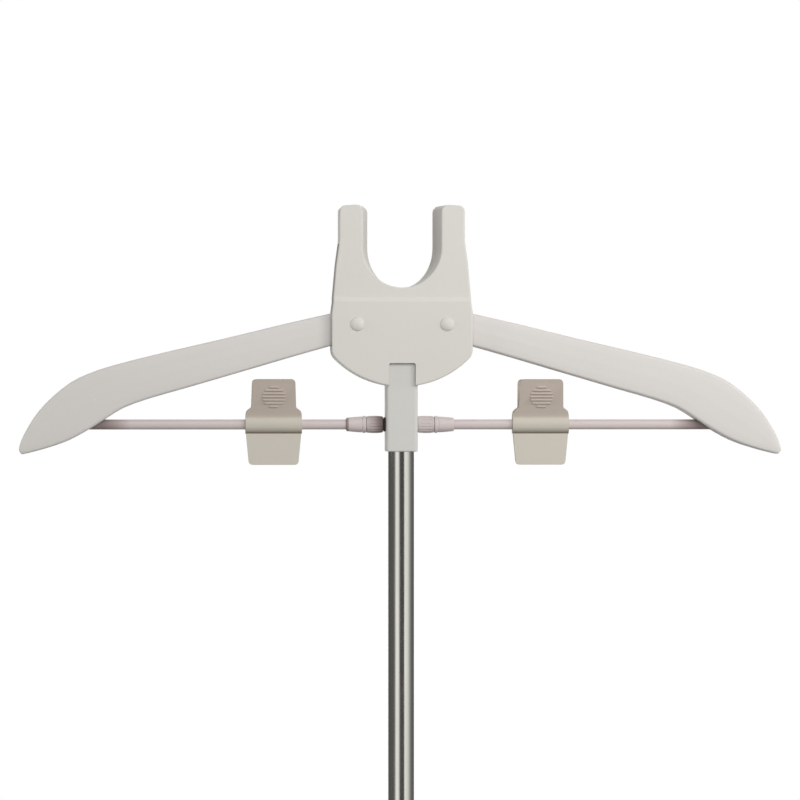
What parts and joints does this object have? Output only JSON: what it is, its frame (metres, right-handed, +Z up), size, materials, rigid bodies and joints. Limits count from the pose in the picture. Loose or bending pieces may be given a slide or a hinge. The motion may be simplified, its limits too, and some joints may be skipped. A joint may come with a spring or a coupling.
{
  "type": "garment steamer hanger",
  "caption": "Folding hanger head for a garment steamer: forked cradle, two hinged arms, clip bars with sliding spring clips, on the top of a round pole.",
  "frame": {"origin": "centre of the flat lower end of the pole", "axes": "+Z up along the pole, +X to the right seen from the front, -Y towards the viewer"},
  "size_m": [0.4396, 0.0303, 0.482],
  "materials": {
    "head_plastic": "satin",
    "arm_plastic": "satin",
    "stem_plastic": "satin",
    "bar_enamel": "satin",
    "nut_plastic": "satin",
    "clip_plastic": "satin",
    "pole_steel": "polished",
    "zinc_steel": "satin",
    "spring_steel": "satin",
    "pad_rubber": "matte",
    "plug_plastic": "matte",
    "washer_rubber": "matte"
  },
  "bodies": {
    "root": {"head_front_cover": "head_plastic", "head_rear_cover": "head_plastic", "stem": "stem_plastic", "pole_tube": "pole_steel", "pole_end_plug": "plug_plastic", "cross_stud": "zinc_steel", "head_screw_1": "zinc_steel", "head_screw_2": "zinc_steel", "head_screw_3": "zinc_steel", "head_screw_4": "zinc_steel", "stem_screw_1": "zinc_steel", "stem_screw_2": "zinc_steel", "left_pivot_rivet": "head_plastic", "left_pivot_washer": "zinc_steel", "left_bar": "bar_enamel", "left_bar_sleeve": "bar_enamel", "left_bar_cap": "nut_plastic", "right_pivot_rivet": "head_plastic", "right_pivot_washer": "zinc_steel", "right_bar": "bar_enamel", "right_bar_sleeve": "bar_enamel", "right_bar_cap": "nut_plastic", "left_neck_washer": "washer_rubber"},
    "left_arm": {"left_arm": "arm_plastic"},
    "left_bar_nut": {"left_bar_nut": "nut_plastic"},
    "left_clip_bush": {"left_clip_bush": "nut_plastic"},
    "left_clip_rear_jaw": {"left_clip_rear_jaw": "clip_plastic", "left_clip_rear_pad": "pad_rubber", "left_clip_spring": "spring_steel"},
    "left_clip_front_jaw": {"left_clip_front_jaw": "clip_plastic", "left_clip_front_pad": "pad_rubber"},
    "right_arm": {"right_arm": "arm_plastic"},
    "right_bar_nut": {"right_bar_nut": "nut_plastic"},
    "right_clip_bush": {"right_clip_bush": "nut_plastic"},
    "right_clip_rear_jaw": {"right_clip_rear_jaw": "clip_plastic", "right_clip_rear_pad": "pad_rubber", "right_clip_spring": "spring_steel"},
    "right_clip_front_jaw": {"right_clip_front_jaw": "clip_plastic", "right_clip_front_pad": "pad_rubber"}
  },
  "joints": [
    {"name": "left_arm_fold", "type": "hinge", "parent": "root", "child": "left_arm", "pos_m": [-0.0258, 0, 0.4133], "axis": [0, 1, 0], "range_deg": [0, 75]},
    {"name": "left_nut_turn", "type": "hinge", "parent": "root", "child": "left_bar_nut", "pos_m": [-0.0145, 0, 0.3556], "axis": [-1, 0, 0], "continuous": true},
    {"name": "left_clip_slide", "type": "slide", "parent": "root", "child": "left_clip_bush", "axis": [-1, 0, 0], "range_m": [-0.0243, 0.0137]},
    {"name": "left_clip_swivel", "type": "hinge", "parent": "left_clip_bush", "child": "left_clip_rear_jaw", "pos_m": [-0.0736, 0, 0.3556], "axis": [1, 0, 0], "continuous": true},
    {"name": "left_clip_open", "type": "hinge", "parent": "left_clip_rear_jaw", "child": "left_clip_front_jaw", "pos_m": [-0.0736, 0, 0.3556], "axis": [-1, 0, 0], "range_deg": [0, 20], "stiffness_Nm_per_rad": 0.12, "springref_deg": -28.65, "deforming": ["left_clip_spring"]},
    {"name": "right_arm_fold", "type": "hinge", "parent": "root", "child": "right_arm", "pos_m": [0.0258, 0, 0.4133], "axis": [0, -1, 0], "range_deg": [0, 75]},
    {"name": "right_nut_turn", "type": "hinge", "parent": "root", "child": "right_bar_nut", "pos_m": [0.0145, 0, 0.3556], "axis": [1, 0, 0], "continuous": true},
    {"name": "right_clip_slide", "type": "slide", "parent": "root", "child": "right_clip_bush", "axis": [1, 0, 0], "range_m": [-0.0327, 0.0068]},
    {"name": "right_clip_swivel", "type": "hinge", "parent": "right_clip_bush", "child": "right_clip_rear_jaw", "pos_m": [0.0807, 0, 0.3556], "axis": [1, 0, 0], "continuous": true},
    {"name": "right_clip_open", "type": "hinge", "parent": "right_clip_rear_jaw", "child": "right_clip_front_jaw", "pos_m": [0.0807, 0, 0.3556], "axis": [-1, 0, 0], "range_deg": [0, 20], "stiffness_Nm_per_rad": 0.12, "springref_deg": -28.65, "deforming": ["right_clip_spring"]}
  ]
}
